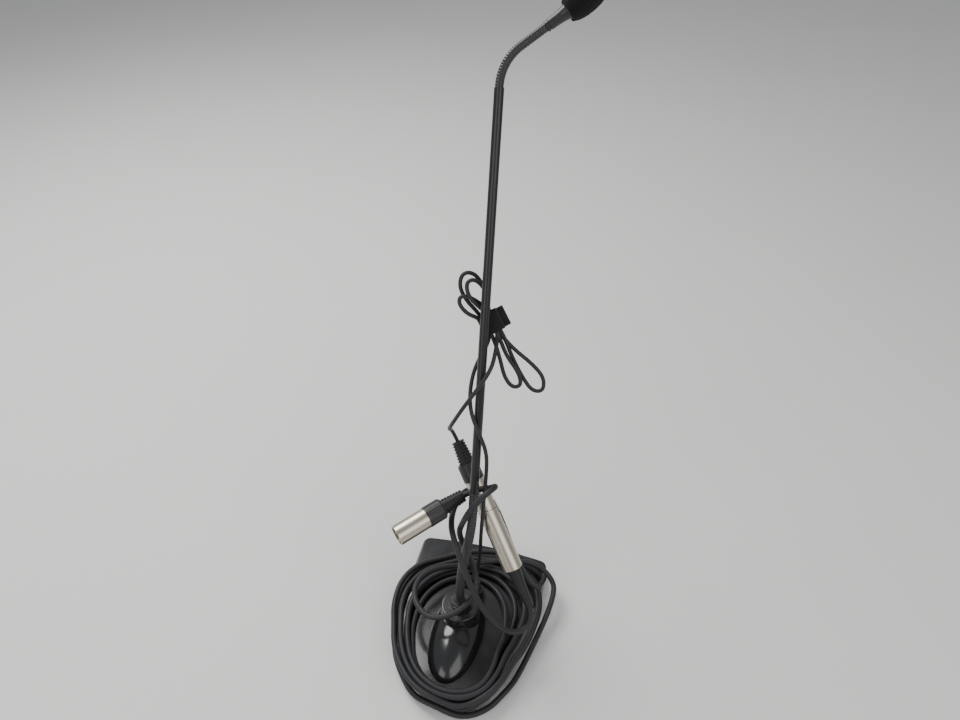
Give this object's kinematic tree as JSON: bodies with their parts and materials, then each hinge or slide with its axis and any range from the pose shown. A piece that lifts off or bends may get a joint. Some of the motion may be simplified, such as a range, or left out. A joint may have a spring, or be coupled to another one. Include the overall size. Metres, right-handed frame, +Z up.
{
  "type": "desktop microphone",
  "caption": "Gooseneck desk microphone: weighted base, long neck with flexible ends, foam windscreen, thin cable tied in a hank and its lead wound round the neck and coiled at the base.",
  "frame": {"origin": "on the floor, under the middle of the base, at the bottom of the middle foot", "axes": "+Z up; -Y towards the talker, the narrow end of the base; +X to the right when looking along +Y"},
  "size_m": [0.1757, 0.3233, 0.5613],
  "materials": {
    "shell_plastic": "moulded, glossy black",
    "cover_plastic": "moulded, fine grain",
    "ballast_steel": "phosphated steel plate",
    "foot_rubber": "matt rubber",
    "screw_steel": "blackened steel",
    "board_laminate": "solder-masked laminate",
    "socket_metal": "black anodised",
    "zinc_steel": "zinc plated",
    "flex_metal": "black coated wound steel",
    "gland_rubber": "matt rubber",
    "thin_cable": "satin soft jacket",
    "wire_insulation": "smooth insulation",
    "lead_jacket": "satin soft jacket",
    "collar_plastic": "satin black",
    "tube_metal": "satin black lacquer",
    "strap_fabric": "woven hook and loop band",
    "boot_rubber": "moulded soft plastic",
    "bushing_plastic": "fluted, satin",
    "plug_metal": "satin nickel plating",
    "insert_plastic": "moulded",
    "contact_plating": "plated",
    "relief_rubber": "moulded soft plastic",
    "tab_metal": "worn satin",
    "adapter_metal": "satin black",
    "element_metal": "spun",
    "foam": "open cell foam"
  },
  "bodies": {
    "base": {"base_shell": "shell_plastic", "bottom_cover": "cover_plastic", "ballast_plate": "ballast_steel", "rubber_feet": "foot_rubber", "cover_screws": "screw_steel", "junction_board": "board_laminate", "board_screws": "screw_steel", "neck_socket": "socket_metal", "socket_washer": "zinc_steel", "socket_nut": "zinc_steel", "collar_clip": "socket_metal", "foot_ferrule": "socket_metal", "lower_flex_foot": "flex_metal", "cable_gland": "gland_rubber", "board_cable": "thin_cable", "neck_leads": "wire_insulation", "lead_coil": "lead_jacket", "socket_lead": "lead_jacket", "plug_lead": "lead_jacket"},
    "collar": {"lock_collar": "collar_plastic"},
    "neck": {"lower_flex_neck": "flex_metal", "neck_tube": "tube_metal", "tube_ferrules": "zinc_steel", "tube_wires": "wire_insulation", "upper_flex_lower": "flex_metal", "cable_strap": "strap_fabric", "mic_cable_hank": "thin_cable", "mic_cable_drop": "thin_cable", "mic_cable_rise": "thin_cable", "free_plug_boot": "boot_rubber", "free_plug_bushing": "bushing_plastic", "free_plug_shell": "plug_metal", "free_plug_insert": "insert_plastic", "free_plug_pins": "contact_plating", "mic_plug_boot": "boot_rubber", "mic_plug_bushing": "bushing_plastic", "mic_plug_shell": "plug_metal", "mic_plug_insert": "insert_plastic", "mic_plug_pins": "contact_plating", "lead_socket_barrel": "plug_metal", "lead_socket_insert": "insert_plastic", "lead_socket_contacts": "contact_plating", "latch_spring": "zinc_steel", "grub_screw": "screw_steel", "strain_relief": "relief_rubber"},
    "flex_middle": {"upper_flex_middle": "flex_metal"},
    "head": {"upper_flex_head": "flex_metal", "head_adapter": "adapter_metal", "capsule_housing": "adapter_metal", "capsule_element": "element_metal", "element_ring": "gland_rubber", "capsule_grille": "zinc_steel"},
    "windscreen": {"windscreen": "foam"},
    "latch": {"latch_tab": "tab_metal"}
  },
  "joints": [
    {"name": "collar_turn", "type": "hinge", "parent": "base", "child": "collar", "pos_m": [-0.004, -0.005, 0.048], "axis": [0, 0, 1], "range_deg": [0, 90]},
    {"name": "neck_bend", "type": "hinge", "parent": "base", "child": "neck", "pos_m": [-0.00023, 0.00465, 0.11614], "axis": [1, 0, 0], "range_deg": [-20, 35], "deforming": ["socket_lead", "plug_lead", "mic_cable_rise"]},
    {"name": "head_nod", "type": "hinge", "parent": "neck", "child": "flex_middle", "pos_m": [-0.01209, 0.17791, 0.49718], "axis": [-0.128, 0.8976, -0.4218], "range_deg": [-30, 30]},
    {"name": "head_swing", "type": "hinge", "parent": "flex_middle", "child": "head", "pos_m": [-0.00624, 0.18421, 0.5088], "axis": [-0.8119, 0.1495, 0.5643], "range_deg": [-30, 30]},
    {"name": "windscreen_pull", "type": "slide", "parent": "head", "child": "windscreen", "axis": [0.756, 0.3635, 0.5443], "range_m": [0, 0.038]},
    {"name": "latch_press", "type": "slide", "parent": "neck", "child": "latch", "axis": [-0.828, -0.4703, -0.3054], "range_m": [0, 0.0008], "stiffness_N_per_m": 600, "deforming": ["latch_spring"]}
  ]
}
